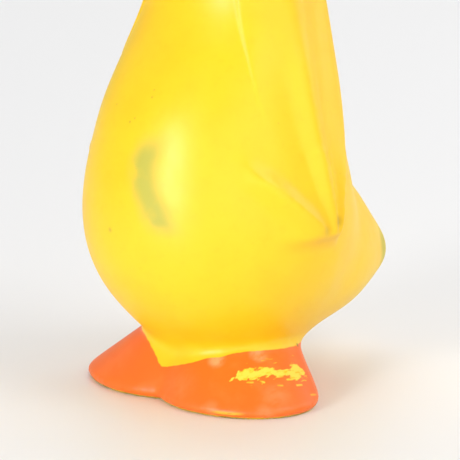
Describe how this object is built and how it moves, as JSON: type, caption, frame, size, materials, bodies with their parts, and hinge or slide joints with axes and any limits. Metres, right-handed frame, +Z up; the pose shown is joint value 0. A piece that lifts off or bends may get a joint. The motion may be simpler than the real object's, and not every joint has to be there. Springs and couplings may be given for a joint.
{
  "type": "vinyl chick figurine",
  "caption": "Standing toy chick, one hollow soft-vinyl casting with a round belly, folded wings, a blunt tail and broad orange-painted feet.",
  "frame": {"origin": "on the sole plane, on the vertical axis of the ankle", "axes": "+Z up through the head, -Y the way the chick faces, +X to the chick's left"},
  "size_m": [0.0914, 0.119, 0.196],
  "materials": {
    "yellow_vinyl": "satin yellow vinyl, with orange paint sprayed on the feet and the beak"
  },
  "bodies": {
    "root": {"figurine_shell": "yellow_vinyl"}
  },
  "joints": []
}
